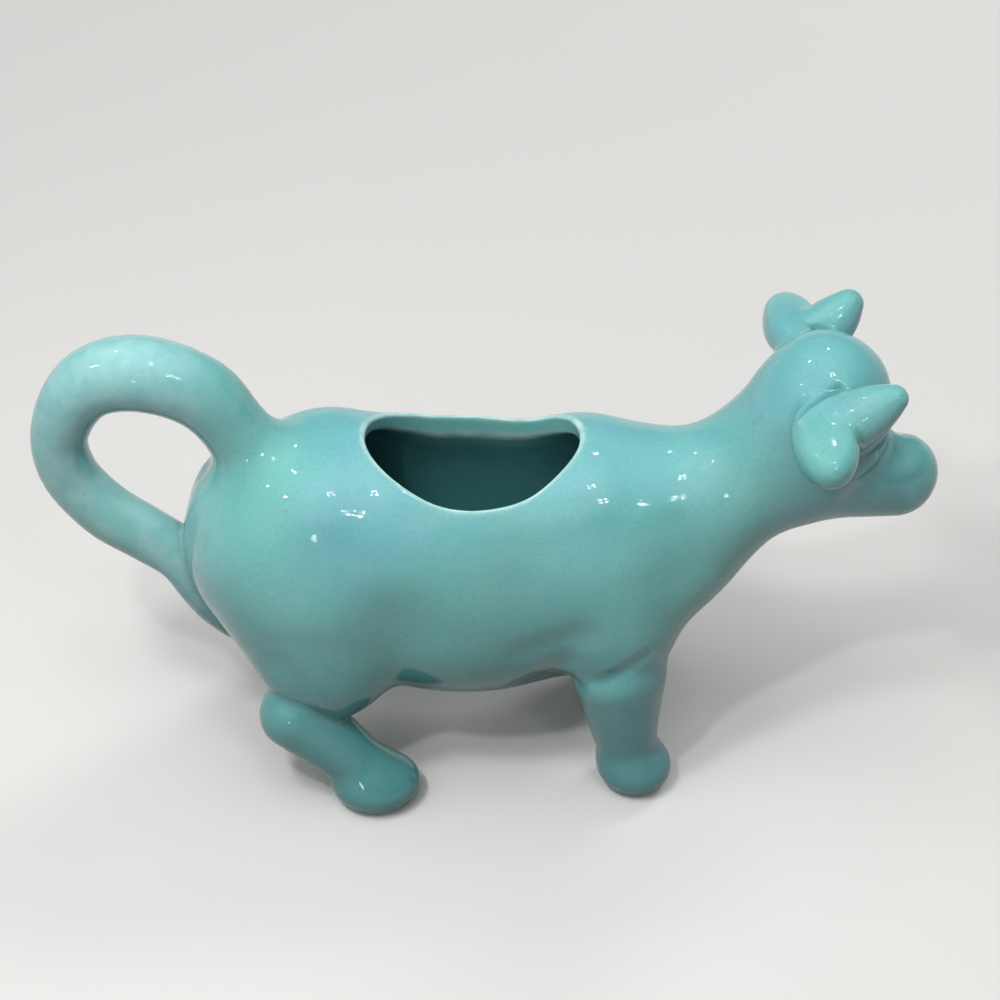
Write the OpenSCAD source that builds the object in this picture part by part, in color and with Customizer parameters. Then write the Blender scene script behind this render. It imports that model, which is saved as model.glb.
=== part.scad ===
// Cow creamer in turquoise glazed earthenware: a hollow body and head that pour
// through the mouth, with a looped tail for a handle. Head towards +X, feet on z = 0.
// The body and head are one smooth skin of blended ovals, met by rays from a spine.
// All lengths are in millimetres, and a size of an oval is its full size.

/* [Wall] */
// Thickness of the cast wall
wall = 4.5; // [3.5:0.1:5.5]

/* [Barrel] */
// Length of the barrel oval
barrel_length = 98; // [86:1:110]
// Width of the barrel oval
barrel_width = 50; // [44:1:58]
// Height of the barrel oval
barrel_height = 63; // [56:1:70]
// Place of the barrel's middle along the body
barrel_x = -4.5; // [-8:0.5:0]
// Height of the barrel's middle above the table
barrel_z = 51; // [48:0.5:54]

/* [Rump] */
// Length of the rump oval
rump_length = 58.5; // [52:0.5:66]
// Width of the rump oval
rump_width = 50.5; // [44:0.5:58]
// Height of the rump oval
rump_height = 55; // [50:0.5:62]
// Place of the rump's middle along the body
rump_x = -36; // [-40:0.5:-32]
// Height of the rump's middle above the table
rump_z = 55; // [52:0.5:58]

/* [Chest] */
// Length of the chest oval
chest_length = 46; // [40:0.5:54]
// Width of the chest oval
chest_width = 44.5; // [38:0.5:52]
// Height of the chest oval
chest_height = 54; // [48:0.5:62]
// Place of the chest's middle along the body
chest_x = 26; // [22:0.5:30]
// Height of the chest's middle above the table
chest_z = 55; // [52:0.5:58]
// Lean of the chest oval, nose down
chest_lean = 10; // [0:1:20]

/* [Thighs and shoulders] */
// Length of each thigh oval
thigh_length = 35; // [29:0.5:41]
// Width of each thigh oval
thigh_width = 24.5; // [20:0.5:29]
// Height of each thigh oval
thigh_height = 49.5; // [44:0.5:56]
// Distance of each thigh from the middle plane
thigh_y = 11.5; // [9:0.5:14]
// Place of the thighs along the body
thigh_x = -35; // [-39:0.5:-32]
// Height of the thighs' middle above the table
thigh_z = 45.5; // [42:0.5:49]
// Lean of the thigh ovals, foot forward
thigh_lean = 12; // [0:1:20]
// Length of each stifle, the bulge at the foot of the thigh
stifle_length = 22.5; // [18:0.5:26]
// Width of each stifle
stifle_width = 17; // [14:0.5:20]
// Height of each stifle
stifle_height = 24.5; // [20:0.5:28]
// Distance of each stifle from the middle plane
stifle_y = 18; // [16:0.5:20]
// Height of the stifles' middle above the table
stifle_z = 33; // [30:0.5:36]
// Length of each shoulder oval
shoulder_length = 20; // [16:0.5:24]
// Width of each shoulder oval
shoulder_width = 20; // [16:0.5:24]
// Height of each shoulder oval
shoulder_height = 31; // [26:0.5:36]
// Distance of each shoulder from the middle plane
shoulder_y = 14.5; // [12:0.5:17]
// Height of the shoulders' middle above the table
shoulder_z = 40.5; // [37:0.5:44]

/* [Neck] */
// Place of the neck's root along the body
neck_root_x = 44; // [40:0.5:47]
// Height of the neck's root above the table
neck_root_z = 62.5; // [59:0.5:66]
// Width of the neck at its root
neck_root_width = 30; // [26:0.5:34]
// Place of the neck's top along the body
neck_top_x = 64; // [61:0.5:67]
// Height of the neck's top above the table
neck_top_z = 82; // [79:0.5:85]
// Width of the neck at its top
neck_top_width = 27; // [23:0.5:31]

/* [Head] */
// Length of the dome of the head
dome_length = 27; // [24:0.5:30]
// Width of the dome of the head
dome_width = 27; // [24:0.5:30]
// Height of the dome of the head
dome_height = 28; // [25:0.5:31]
// Place of the dome along the body
dome_x = 69; // [66:0.5:72]
// Height of the dome's middle above the table
dome_z = 92; // [89:0.5:95]
// Place of the muzzle's root along the body
muzzle_root_x = 68; // [66:0.5:71]
// Height of the muzzle's root above the table
muzzle_root_z = 76; // [74:0.5:79]
// Width of the muzzle at its root
muzzle_root_width = 24; // [20:0.5:28]
// Place of the middle of the muzzle's round tip
muzzle_tip_x = 85.9; // [82:0.5:89]
// Height of the middle of the muzzle's round tip
muzzle_tip_z = 72.5; // [70:0.5:75]
// Width of the muzzle's round tip
muzzle_tip_width = 18; // [16:0.5:21]

/* [Blends] */
// How far the large ovals of the body melt together
body_blend = 10; // [6:0.5:14]
// How far the thighs, stifles and shoulders melt into the body
limb_blend = 7.5; // [4:0.5:10]
// How far the neck melts into the body
neck_blend = 11; // [7:0.5:14]
// How far the head melts into the neck
head_blend = 8; // [5:0.5:11]
// How far each hoof melts into its leg
hoof_blend = 3.5; // [2:0.5:5]

/* [Openings] */
// Length of the filling opening in the back
fill_length = 44.5; // [38:0.5:50]
// Width of the filling opening in the back
fill_width = 30; // [24:0.5:34]
// Place of the middle of the filling opening
fill_x = -3.4; // [-6:0.1:0]
// Bore of the pouring hole in the mouth
pour_bore = 7.2; // [6:0.2:8]
// Slope of the pouring hole, downwards
pour_slope = 30; // [20:1:40]

/* [Tail handle] */
// Place along the body where the tail starts inside the rump
tail_root_x = -44.5; // [-47:0.5:-42]
// Height above the table where the tail starts inside the rump
tail_root_z = 69.5; // [67:0.5:72]
// How far the middle of the loop reaches behind its start
tail_reach = 44.5; // [40:0.5:50]
// How far the middle of the loop rises above its start
tail_rise = 28; // [25:0.5:31]
// Width of the tail at the top of the loop
tail_width = 14.8; // [12:0.2:17]

/* [Ears and horns] */
// Width of each ear from front to back
ear_width = 12; // [10:0.5:14]
// Length of each ear from root to tip
ear_length = 24; // [21:0.5:28]
// Thickness of each ear
ear_thickness = 9.5; // [8:0.5:11]
// Place of the middle of the ears along the body
ear_x = 65; // [63:0.5:67]
// Distance of the middle of each ear from the middle plane
ear_y = 20.5; // [19:0.5:22]
// Height of the middle of each ear above the table
ear_z = 96; // [94:0.5:98]
// Droop of each ear from level
ear_droop = 8; // [0:1:15]
// Width of each horn at its root
horn_root_width = 10.2; // [8:0.2:12]
// Width of each horn at its round tip
horn_tip_width = 6; // [5:0.2:7]
// Place of the horns' roots along the body
horn_root_x = 67; // [65:0.5:69]
// Distance of each horn's root from the middle plane
horn_root_y = 14.5; // [13:0.5:16]
// Height of each horn's root above the table
horn_root_z = 97.5; // [96:0.5:99]
// How far each horn runs forward
horn_run = 11.3; // [9:0.1:13]
// How far each horn splays outward
horn_splay = 4.6; // [3:0.1:6]
// How far each horn rises
horn_rise = 6.4; // [4:0.1:8]

/* [Forelegs] */
// Place of the forelegs' tops along the body
foreleg_top_x = 28.4; // [26:0.1:31]
// Distance of each foreleg's top from the middle plane
foreleg_top_y = 16.1; // [14.5:0.1:17.5]
// Height of the middle of the forelegs' round tops above the table
foreleg_top_z = 33.9; // [31:0.1:37]
// Width of each foreleg at its top
foreleg_top_width = 17.2; // [14:0.2:19]
// Width of each foreleg at its ankle
foreleg_ankle_width = 10.2; // [9:0.2:12]
// Place of the middle of the fore hooves along the body
fore_hoof_x = 32.2; // [30:0.1:34]
// Distance of each fore hoof from the middle plane
fore_hoof_y = 18.5; // [17:0.1:20]
// Length of each fore hoof
fore_hoof_length = 14.2; // [12:0.2:17]
// Width of each fore hoof
fore_hoof_width = 14.2; // [12:0.2:17]

/* [Hind legs] */
// Place of the hocks along the body
hock_x = -42.6; // [-45:0.1:-40]
// Distance of each hock from the middle plane
hock_y = 20.3; // [18.5:0.1:22]
// Height of the hocks above the table
hock_z = 22.2; // [20:0.1:24.5]
// Width of each hind leg at its hock
hock_width = 13.2; // [11:0.2:15.4]
// Width of each hind leg at its ankle
hind_ankle_width = 10.2; // [9:0.2:12]
// Place of the middle of the hind hooves along the body
hind_hoof_x = -24.3; // [-27:0.1:-22]
// Distance of each hind hoof from the middle plane
hind_hoof_y = 23.7; // [22:0.1:25]
// Length of each hind hoof
hind_hoof_length = 18; // [15:0.5:21]
// Width of each hind hoof
hind_hoof_width = 15; // [13:0.2:17]

/* [Hooves] */
// Height of the middle of the hooves above the table
hoof_z = 4.7; // [4:0.1:5.5]
// Height of each hoof oval
hoof_height = 12.4; // [11.2:0.2:14]
// Height of the ankles above the table
ankle_z = 8.1; // [7:0.1:10]

/* [Hidden] */

// How far a cutting shape runs past what it cuts
overrun = 2;
// How near a point of the skin lies to the blended ovals
skin_error = 0.004;
// Points round the outer skin, round the cavity and round a limb
skin_sides = 52;
cavity_sides = 36;
limb_sides = 22;
// Facets of a round cutter and of a small oval
cutter_fn = 72;
oval_fn = 26;

glaze = [0.40, 0.72, 0.71];

// Where the neck is cut square for luting the head on, as a share of the neck's length
seam_share = 0.42;
nape_share = 0.90;
brow_share = 0.45;
// Place of the shoulders ahead of the chest's middle, as a share of its length
shoulder_x_share = 0.05;
// How far down the leg towards the middle of the hoof the ankle lies
fore_ankle_share = 0.45;
hind_ankle_share = 0.85;

// Points on the middle plane that the spine is threaded through, as [x, z]
rump_mid = [rump_x, rump_z];
chest_mid = [chest_x, chest_z];
neck_root = [neck_root_x, neck_root_z];
neck_top = [neck_top_x, neck_top_z];
seam_mid = mix(neck_root, neck_top, seam_share);
nape_mid = mix(neck_root, neck_top, nape_share);
skull_mid = ([dome_x, dome_z] + [muzzle_root_x, muzzle_root_z]) / 2;
muzzle_tip = [muzzle_tip_x, muzzle_tip_z];
brow_mid = mix(skull_mid, muzzle_tip, brow_share);

// Stations of the spine: place, lean of the ring, and how far its top and its bottom
// rays turn forward, in degrees
spine = [
    [rump_mid, 0, -90, -90],
    [rump_mid, 0, 0, 0],
    [chest_mid, 0, 0, 0],
    [neck_root, 35, 0, 0],
    [seam_mid, 45, 0, 0],
    [nape_mid, 40, 0, -25],
    [skull_mid, 10, 0, 0],
    [brow_mid, -20, 15, 0],
    [muzzle_tip, -12, 0, 0],
    [muzzle_tip, -12, 90, 90]
];
// Rings from each station to the next
spine_rings = [9, 15, 7, 3, 4, 3, 7, 4, 7];
// The ring that lies in the seam between body and head, and the last ring
seam_ring = spine_rings[0] + spine_rings[1] + spine_rings[2] + spine_rings[3];
last_ring = seam_ring + spine_rings[4] + spine_rings[5] + spine_rings[6] + spine_rings[7]
    + spine_rings[8];

// Course of the tail from the rump, over the loop and down the rump to its tip: shares
// of its reach and of its rise, then its thickness as shares of its width, and how many
// times as wide as thick it is where it flattens into the tuft
tail_x_shares = [0, 0.15, 0.32, 0.58, 0.83, 1.00, 0.98, 0.84, 0.66, 0.50, 0.43, 0.35, 0.27];
tail_z_shares = [0, 0.47, 0.84, 1.00, 0.89, 0.50, 0.11, -0.22, -0.46, -0.66, -0.91, -1.18, -1.36];
tail_w_shares = [1.60, 1.10, 0.98, 1.00, 0.90, 0.74, 0.77, 0.80, 0.78, 0.74, 0.58, 0.56, 0.24];
tail_flat_shares = [1, 1, 1, 1, 1, 1, 1, 1, 1, 1.1, 1.4, 1.5, 1.5];
// Rings of the tail between two points of its course, and rings of a leg
tail_steps = 4;
leg_steps = 16;
// How far above the middle of a leg's round top its last ring lies, as a share of its width
leg_top_share = 0.47;

// Point at a share of the way from a to b
function mix(a, b, share) = a + (b - a) * share;
function unit(v) = v / norm(v);
function clamp(v) = min(max(v, 0), 1);
function near_side(p) = [p.x, -abs(p.y), p.z];
function at_height(p, z) = [p.x, p.y, z];

// Depth below the surface of an oval, negative inside. The oval leans nose down.
function oval(p, mid, size, lean = 0) =
    let (
        d = p - mid,
        q = [d.x * cos(lean) - d.z * sin(lean), d.y, d.x * sin(lean) + d.z * cos(lean)],
        s = [for (i = [0:2]) 2 * q[i] / size[i]],
        g = [for (i = [0:2]) 2 * s[i] / size[i]]
    )
    norm(s) * (norm(s) - 1) / norm(g);

// Depth below the surface of a round bar from a to b that tapers from width wa to wb
function bar(p, a, b, wa, wb) =
    let (
        d = b - a,
        slope = (wa - wb) / 2 / norm(d),
        raw = ((p - a) * d) / (d * d),
        off = norm(p - a - d * raw),
        t = clamp(raw - off * slope / sqrt(1 - slope * slope) / norm(d))
    )
    norm(p - a - d * t) - mix(wa, wb, t) / 2;

// Two depths melted together over a length k
function melt(a, b, k) = let (h = max(k - abs(a - b), 0) / k) min(a, b) - h * h * k / 4;

function trunk_form(p) =
    let (
        q = near_side(p),
        barrel = oval(p, [barrel_x, 0, barrel_z], [barrel_length, barrel_width, barrel_height]),
        rump = oval(p, [rump_x, 0, rump_z], [rump_length, rump_width, rump_height]),
        chest = oval(p, [chest_x, 0, chest_z], [chest_length, chest_width, chest_height], chest_lean),
        thigh = oval(q, [thigh_x, -thigh_y, thigh_z], [thigh_length, thigh_width, thigh_height],
            thigh_lean),
        stifle = oval(q, [thigh_x, -stifle_y, stifle_z],
            [stifle_length, stifle_width, stifle_height]),
        shoulder = oval(q, [chest_x + chest_length * shoulder_x_share, -shoulder_y, shoulder_z],
            [shoulder_length, shoulder_width, shoulder_height]),
        trunk = melt(melt(barrel, rump, body_blend), chest, body_blend)
    )
    melt(melt(melt(trunk, thigh, limb_blend), stifle, limb_blend), shoulder, limb_blend);

function head_form(p) =
    let (
        dome = oval(p, [dome_x, 0, dome_z], [dome_length, dome_width, dome_height]),
        muzzle = bar(p, [muzzle_root_x, 0, muzzle_root_z], [muzzle_tip_x, 0, muzzle_tip_z],
            muzzle_root_width, muzzle_tip_width)
    )
    melt(dome, muzzle, head_blend);

function neck_form(p) = bar(p, [neck_root_x, 0, neck_root_z], [neck_top_x, 0, neck_top_z],
    neck_root_width, neck_top_width);

skin_form = function (p) melt(melt(trunk_form(p), neck_form(p), neck_blend), head_form(p), head_blend);

// A leg is a tapering bar from its top to its ankle, melted into its hoof
function leg_form(p, top, top_width, ankle, ankle_width, hoof, hoof_size) = melt(
    bar(p, top, ankle, top_width, ankle_width), oval(p, hoof, hoof_size), hoof_blend);

fore_top = [foreleg_top_x, -foreleg_top_y, foreleg_top_z];
fore_hoof = [fore_hoof_x, -fore_hoof_y, hoof_z];
fore_ankle = at_height(mix(fore_top, fore_hoof, fore_ankle_share), ankle_z);
fore_hoof_size = [fore_hoof_length, fore_hoof_width, hoof_height];
foreleg_form = function (p)
    leg_form(p, fore_top, foreleg_top_width, fore_ankle, foreleg_ankle_width, fore_hoof, fore_hoof_size);

hock = [hock_x, -hock_y, hock_z];
hind_hoof = [hind_hoof_x, -hind_hoof_y, hoof_z];
hind_ankle = at_height(mix(hock, hind_hoof, hind_ankle_share), ankle_z);
hind_hoof_size = [hind_hoof_length, hind_hoof_width, hoof_height];
hindleg_form = function (p)
    leg_form(p, hock, hock_width, hind_ankle, hind_ankle_width, hind_hoof, hind_hoof_size);

// Distance along a ray from c in direction d to where a form has the depth wanted: each
// step follows the slope of the last two
function reach(form, c, d, deep, r, f, r_was, f_was, left = 12) =
    left == 0 || abs(f) < skin_error ? r :
    let (
        slope = min(max((f - f_was) / (r - r_was), 0.3), 1.5),
        r_new = r - f / slope,
        f_new = form(c + d * r_new) + deep
    )
    reach(form, c, d, deep, r_new, f_new, r, f, left - 1);

function on_form(form, c, d, deep) =
    let (f = form(c + d * skin_error) + deep, r = -f * 0.8)
    c + d * reach(form, c, d, deep, r, form(c + d * r) + deep, skin_error, f);

// Station of the spine at ring i
function station(i, k = 0) =
    k == len(spine_rings) - 1 || i <= spine_rings[k]
    ? let (share = i / spine_rings[k])
        [for (j = [0:3]) mix(spine[k][j], spine[k + 1][j], share)]
    : station(i - spine_rings[k], k + 1);

// Direction of the ray at turn a round a station, from 0 at the top to 180 at the bottom
function ray_of(s, a) =
    let (
        lean = s[1],
        up = [-sin(lean), 0, cos(lean)],
        ahead = [cos(lean), 0, sin(lean)],
        fan = mix(s[2], s[3], (1 - cos(a)) / 2)
    )
    (up * cos(a) + [0, sin(a), 0]) * cos(fan) + ahead * sin(fan);

// Points of ring i of the skin, deep below the surface; one half is met by rays and the
// other half mirrors it
function skin_ring(i, sides, deep) =
    let (
        s = station(i),
        c = [s[0].x, 0, s[0].y],
        half = [for (k = [0:sides / 2]) on_form(skin_form, c, ray_of(s, 360 * k / sides), deep)]
    )
    [for (k = [0:sides - 1]) k <= sides / 2 ? half[k] : [half[sides - k].x, -half[sides - k].y,
        half[sides - k].z]];

// Triangles between rings of n points, rows rings in all, whose first point is at start
function band_faces(rows, n, start) = [
    for (r = [0:rows - 2], k = [0:n - 1])
        let (a = start + r * n + k, b = start + r * n + (k + 1) % n)
        for (f = [[a, b, b + n], [a, b + n, a + n]]) f
];
function fan_faces(tip, n, start, flip) = [
    for (k = [0:n - 1])
        let (a = start + k, b = start + (k + 1) % n)
        flip ? [tip, b, a] : [tip, a, b]
];
// A closed skin through rings, with one more point at either end
module skinned(rings, first, last) {
    n = len(rings[0]);
    points = [first, for (r = rings) each r, last];
    polyhedron(points, concat(fan_faces(0, n, 1, true), band_faces(len(rings), n, 1),
        fan_faces(len(points) - 1, n, 1 + (len(rings) - 1) * n, false)), convexity = 6);
}

// The skin between two rings of the spine; an end that isn't a pole is closed flat
module skin(from, to, sides, deep) {
    ends = [for (i = [from, to]) let (s = station(i), c = [s[0].x, 0, s[0].y])
        abs(s[2]) == 90 ? on_form(skin_form, c, ray_of(s, 0), deep) : c];
    inner = [for (i = [from:to]) if (abs(station(i)[2]) != 90) skin_ring(i, sides, deep)];
    skinned(inner, ends[0], ends[1]);
}

// The whole outer form, as a cutter for what is luted onto it
module outside() {
    skin(0, last_ring, skin_sides, 0);
}
// The space for the milk, from the rump to the muzzle
module cavity() {
    skin(0, last_ring, cavity_sides, wall);
}

// Turns what it holds into one mesh
module as_one_mesh() {
    resize([0, 0, 0]) children();
}

module fill_opening() {
    translate([fill_x, 0, barrel_z])
        scale([1, fill_width / fill_length, 1])
            cylinder(h = barrel_height, d = fill_length, $fn = cutter_fn);
}
module pour_opening() {
    translate([muzzle_tip_x, 0, muzzle_tip_z])
        rotate([0, 90 + pour_slope, 0])
            cylinder(h = muzzle_tip_width, d = pour_bore, $fn = cutter_fn / 2);
}

module body() {
    color(glaze)
        as_one_mesh()
            difference() {
                skin(0, seam_ring, skin_sides, 0);
                cavity();
                fill_opening();
            }
}

module head() {
    color(glaze)
        as_one_mesh()
            difference() {
                skin(seam_ring, last_ring, skin_sides, 0);
                cavity();
                pour_opening();
            }
}

// Smooth course through points of shares, t counted in points
function course(shares, t) =
    let (
        i = min(floor(t), len(shares) - 2),
        u = t - i,
        b = shares[i],
        c = shares[i + 1],
        a = i > 0 ? shares[i - 1] : 2 * b - c,
        d = i + 2 < len(shares) ? shares[i + 2] : 2 * c - b
    )
    (2 * b + (c - a) * u + (2 * a - 5 * b + 4 * c - d) * u * u + (3 * b - a - 3 * c + d) * u * u * u) / 2;

function tail_mid(t) = [
    tail_root_x - tail_reach * course(tail_x_shares, t),
    0,
    tail_root_z + tail_rise * course(tail_z_shares, t)
];

module tail_solid() {
    spans = len(tail_x_shares) - 1;
    rings = [for (i = [0:spans * tail_steps])
        let (
            t = i / tail_steps,
            before = max(t - 1 / tail_steps, 0),
            after = min(t + 1 / tail_steps, spans),
            along = unit(tail_mid(after) - tail_mid(before)),
            up = cross(along, [0, 1, 0]),
            r = tail_width * course(tail_w_shares, t) / 2,
            flat = course(tail_flat_shares, t)
        )
        [for (k = [0:limb_sides - 1]) let (a = 360 * k / limb_sides)
            tail_mid(t) + r * (cos(a) * up + [0, flat * sin(a), 0])]];
    tip_reach = tail_width * tail_w_shares[spans] / 2;
    tip = tail_mid(spans) + tip_reach * unit(tail_mid(spans) - tail_mid(spans - 1 / tail_steps));
    skinned(rings, tail_mid(0), tip);
}

module tail_handle() {
    color(glaze)
        as_one_mesh()
            difference() {
                tail_solid();
                outside();
            }
}

module horn_solid() {
    hull() {
        translate([horn_root_x, -horn_root_y, horn_root_z])
            sphere(d = horn_root_width, $fn = oval_fn);
        translate([horn_root_x + horn_run, -horn_root_y - horn_splay, horn_root_z + horn_rise])
            sphere(d = horn_tip_width, $fn = oval_fn);
    }
}

module horn() {
    color(glaze)
        as_one_mesh()
            difference() {
                horn_solid();
                outside();
            }
}

module ear() {
    color(glaze)
        as_one_mesh()
            difference() {
                translate([ear_x, -ear_y, ear_z])
                    rotate([ear_droop, 0, 0])
                        scale([ear_width, ear_length, ear_thickness] / ear_length)
                            sphere(d = ear_length, $fn = oval_fn);
                outside();
                horn_solid();
            }
}

// A leg's skin of level rings from below the table to its round top, each round a point
// between the hoof and the top
module leg_skin(form, top, top_width, hoof) {
    top_z = top.z + top_width * leg_top_share;
    level = [for (i = [0:leg_steps]) mix(-overrun / 2, top_z, i / leg_steps)];
    mids = [for (z = level) at_height(mix(hoof, top, clamp((z - hoof.z) / (top.z - hoof.z))), z)];
    rings = [for (c = mids)
        [for (k = [0:limb_sides - 1]) let (a = 360 * k / limb_sides)
            on_form(form, c, [-sin(a), cos(a), 0], 0)]];
    skinned(rings, mids[0], mids[leg_steps]);
}

// What lies below the table, which cuts each sole flat
module below_table() {
    side = barrel_length;
    translate([-side, -side, -side])
        cube([2 * side, 2 * side, side]);
}

module leg(form, top, top_width, hoof) {
    color(glaze)
        difference() {
            as_one_mesh()
                difference() {
                    leg_skin(form, top, top_width, hoof);
                    outside();
                }
            below_table();
        }
}

module foreleg() {
    leg(foreleg_form, fore_top, foreleg_top_width, fore_hoof);
}

module hindleg() {
    leg(hindleg_form, hock, hock_width, hind_hoof);
}

module mirrored() {
    mirror([0, 1, 0]) children();
}

// The right side of the cow is the one at -Y
module horn_right() { horn(); }
module horn_left() { mirrored() horn(); }
module ear_right() { ear(); }
module ear_left() { mirrored() ear(); }
module foreleg_right() { foreleg(); }
module foreleg_left() { mirrored() foreleg(); }
module hindleg_right() { hindleg(); }
module hindleg_left() { mirrored() hindleg(); }

body();
head();
tail_handle();
ear_left();
ear_right();
horn_left();
horn_right();
foreleg_left();
foreleg_right();
hindleg_left();
hindleg_right();
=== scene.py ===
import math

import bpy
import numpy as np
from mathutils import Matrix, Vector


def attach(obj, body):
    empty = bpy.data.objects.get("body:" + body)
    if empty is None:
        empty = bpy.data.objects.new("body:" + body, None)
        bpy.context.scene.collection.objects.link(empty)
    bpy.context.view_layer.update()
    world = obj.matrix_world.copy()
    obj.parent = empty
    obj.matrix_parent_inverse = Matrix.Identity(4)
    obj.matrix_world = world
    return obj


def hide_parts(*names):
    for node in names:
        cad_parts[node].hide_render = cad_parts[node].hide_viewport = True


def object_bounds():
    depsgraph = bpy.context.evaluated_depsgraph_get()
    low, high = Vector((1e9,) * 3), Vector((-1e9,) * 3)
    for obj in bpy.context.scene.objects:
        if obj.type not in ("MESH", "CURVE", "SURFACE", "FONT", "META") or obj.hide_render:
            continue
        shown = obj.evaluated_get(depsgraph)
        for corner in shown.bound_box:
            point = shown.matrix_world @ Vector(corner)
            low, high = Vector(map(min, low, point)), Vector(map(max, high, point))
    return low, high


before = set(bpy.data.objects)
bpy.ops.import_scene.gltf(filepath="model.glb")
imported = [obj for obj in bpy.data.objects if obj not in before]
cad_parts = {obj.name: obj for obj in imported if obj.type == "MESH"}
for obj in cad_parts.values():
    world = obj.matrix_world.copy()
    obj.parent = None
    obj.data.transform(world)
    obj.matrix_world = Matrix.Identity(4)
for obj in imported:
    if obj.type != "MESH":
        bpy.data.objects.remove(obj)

# Looks of the cow creamer in turquoise glazed earthenware.
#
# The whole creamer is one smooth field, below zero inside the clay: the ovals and bars of
# the part's source, melted into one another as the slip and the glaze melt them, with the
# finer modelling added. A mesh is drawn over the field, then cut along the joints, so that
# each piece stands for its own CAD node and meets its neighbours without a step.
# The field works in millimetres and degrees. The scene is in metres.

cad_low, cad_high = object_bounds()
MM = 0.001

# Sizes of the clay, as in the part's source. An oval's or bar's size is its full size

WALL = 4.5
BARREL = dict(mid=(-4.5, 0, 50), size=(98, 50, 65))
RUMP = dict(mid=(-36, 0, 55), size=(58.5, 50.5, 55))
CHEST = dict(mid=(26, 0, 55), size=(46, 44.5, 54), lean=10)
THIGH = dict(mid=(-35, -11.5, 45.5), size=(35, 24.5, 49.5), lean=12)
STIFLE = dict(mid=(-35, -18, 33), size=(22.5, 17, 24.5))
SHOULDER = dict(mid=(28.3, -14.5, 40.5), size=(20, 20, 31))
NECK = dict(a=(44, 0, 62.5), b=(64, 0, 82), wide_a=30, wide_b=27)
DOME = dict(mid=(69, 0, 92), size=(27, 27, 28))
MUZZLE = dict(a=(68, 0, 76), b=(85.8, 0, 72.5), wide_a=24, wide_b=18)
EAR = dict(mid=(66.3, -20.9, 95.9), size=(13, 22.2, 9.5), lean=-8, roll=8)
# Each horn as (x, y, z, thickness) from its root to its tip
HORN = [(69, -15.4, 94.8, 12.6), (74.2, -16.3, 99.3, 11), (76.9, -16.8, 101.6, 8.8),
        (79.4, -17.2, 103.7, 5.7)]
# The far ear and horn were set on a little further back than the near ones
FAR_EAR = dict(mid=(63.9, -18.8, 97.2), size=(11.6, 24.8, 9.5), roll=8)
FAR_HORN = [(67.6, -15.2, 94.8, 12.6), (71.4, -16.3, 99, 10.8), (73.4, -16.9, 101.2, 9),
            (75.2, -17.6, 103.4, 6.4)]
FORELEG = dict(a=(28.6, -16.1, 31), b=(30.9, -17.3, 10.4), wide_a=20.4, wide_b=13.2)
FORE_HOOF = dict(mid=(32.8, -18.3, 4.9), size=(16.4, 16, 12.8))
HINDLEG = dict(a=(-41.9, -20.1, 22.4), b=(-27.6, -22.8, 8.8), wide_a=15.6, wide_b=12.4)
HIND_HOOF = dict(mid=(-24.6, -23.5, 4.8), size=(19.4, 16.6, 12.8))
# Soft modelling of the skin, mirrored on the far side: places that swell (place, height,
# reach), and pressed lines (points along it, depth, reach), where a depth below zero is a fold
SWELLS = {
    "hip": ((-35, -13, 76), 1.6, 13),
    "withers": ((20, -11, 76), 1.2, 12),
    "back": ((-4, -14, 77), 1.0, 34),
    "thigh": ((-34, -25, 47), 0.6, 18),
    "buttock": ((-61, -5, 72), 1.3, 12),
    "behind_foreleg": ((13, -18, 27.5), -2.2, 11),
    "before_thigh": ((-19, -26, 52), -0.9, 14),
    "before_shoulder": ((40, -19, 65), -0.9, 13),
    "belly": ((-6, -20, 34), 1.2, 18),
    "breast": ((43, -13, 51), 1.2, 13),
}
LINES = {
    "cheek": ([(76.5, -12.6, 75.5), (79.6, -11, 78.6), (82.6, -8.2, 80.6), (85, -4.8, 81.2)],
              0.8, 5.5),
    "brow": ([(74.4, -12.6, 88), (78, -9.6, 88.4), (80.8, -6.4, 88.4)], -1.1, 4.6),
    "closed_lid": ([(75.4, -12.8, 84.7), (78.8, -10, 85.1), (81.6, -6.4, 85.4)], 0.5, 2.6),
    "under_eye": ([(75.4, -12.6, 82.2), (79.4, -9.6, 82.8)], -0.5, 3),
    "behind_shoulder": ([(8.6, -23.4, 43.4), (15, -23.8, 45.8), (20.5, -24.5, 48.6)], 0.5, 6),
    "behind_elbow": ([(12.4, -20.8, 36.4), (17, -22.6, 40.2)], 0.5, 5),
    "ham": ([(-43.5, -25.3, 40), (-40, -26.6, 34.6), (-37.1, -25.6, 27.2)], 0.5, 6),
}

# Pressed lines over the joint of a foreleg, as above
CREASES = {
    "over_joint": ([(20.6, -20.4, 31.6), (25.2, -24, 36), (29.3, -25, 39.6), (33.6, -24.1, 42.6)],
                   0.55, 3),
    "fold": ([(22.4, -22.6, 28.4), (27, -24.6, 31.6), (31.4, -25, 34.6)], -0.22, 2.8),
    "under_fold": ([(23.4, -22.6, 26.2), (28.4, -24, 28.4), (33.4, -23.2, 30.6)], 0.16, 2.2),
}
# Pressed lines where an ear meets the dome, as above
EAR_LINES = {
    "groove": ([(61.6, -16, 99.2), (65, -12.9, 100.4), (69.6, -10.3, 101)], 0.45, 2.3),
    "rim": ([(61.6, -19, 99.4), (64.2, -16.2, 100.4), (67.2, -14.2, 101.4), (70, -13.6, 102.6)],
            -0.4, 1.9),
}
# The groove round a hoof, at a height over the table
HOOF_GROOVE = dict(height=2.9, deep=0.3, reach=1.3)
# Hand-made unevenness of the skin: (depth, radians to a millimetre along x, y and z)
WAVES = [(0.12, (0.17, 0.13, 0.15)), (0.08, (-0.14, 0.25, 0.22))]
# How far a wave is shifted along, in radians to a millimetre of its depth
WAVE_SHIFT = 10

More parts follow.
